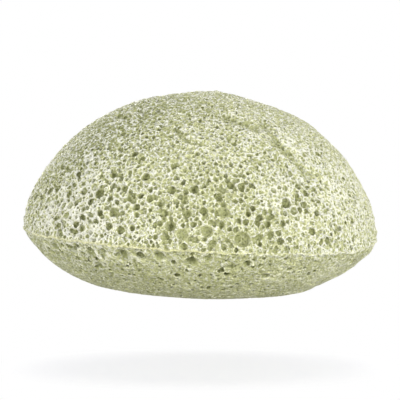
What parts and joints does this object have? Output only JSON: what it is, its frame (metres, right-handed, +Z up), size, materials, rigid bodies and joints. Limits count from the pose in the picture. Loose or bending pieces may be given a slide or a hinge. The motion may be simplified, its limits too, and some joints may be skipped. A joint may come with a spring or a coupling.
{
  "type": "konjac sponge",
  "caption": "Half-ball facial cleansing sponge of pale olive open-cell konjac foam, domed on top with a shallow bowled underside and a fine beaded rim.",
  "frame": {"origin": "under the middle of the sponge, on the surface that it rests on", "axes": "+Z up through the crown, the side seen in the picture faces -Y, and the sponge leans slightly towards +X"},
  "size_m": [0.0804, 0.0804, 0.0442],
  "materials": {
    "konjac_foam": "moist open-cell gel foam, pale olive"
  },
  "bodies": {
    "root": {"sponge_body": "konjac_foam"}
  },
  "joints": []
}
